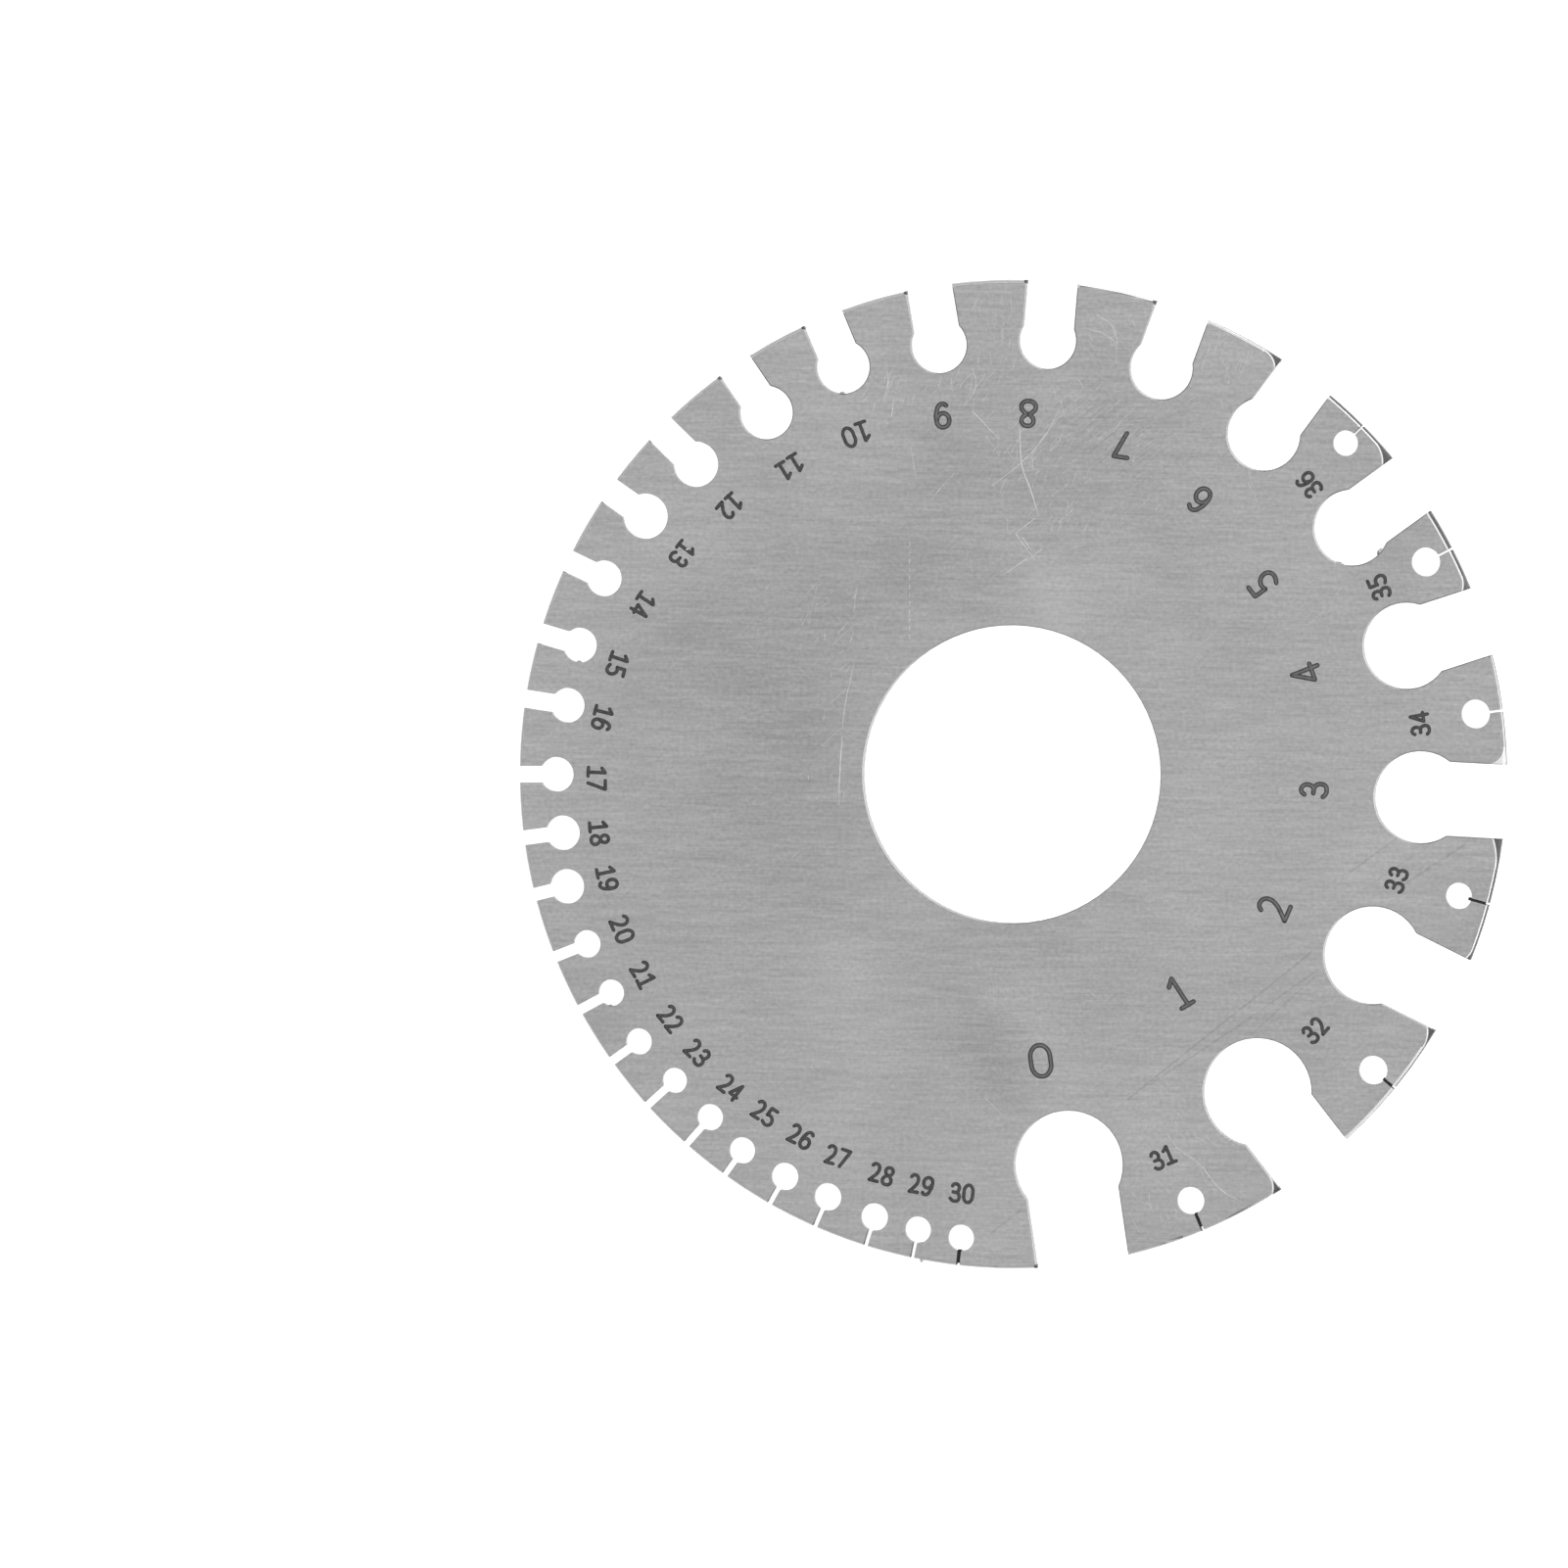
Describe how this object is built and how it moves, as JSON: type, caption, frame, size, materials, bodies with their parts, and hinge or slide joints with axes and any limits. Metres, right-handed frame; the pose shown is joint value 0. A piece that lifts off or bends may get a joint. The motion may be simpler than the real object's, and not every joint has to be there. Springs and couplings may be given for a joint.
{
  "type": "wire gauge plate",
  "caption": "Round stamped wire and sheet gauge plate with a large centre hole and radial slots that each end in a round relief hole.",
  "frame": {"origin": "on the axis of the centre hole, in the plane of the face that the plate lies on", "axes": "+Z out of the numbered face, +X towards gauge 3's side of the rim, the gauges from 6 to 30 running anticlockwise seen from +Z"},
  "size_m": [0.085, 0.085, 0.002],
  "materials": {
    "stainless_plate": "fine brushed grain, lightly scratched from use"
  },
  "bodies": {
    "root": {"gauge_plate": "stainless_plate"}
  },
  "joints": []
}
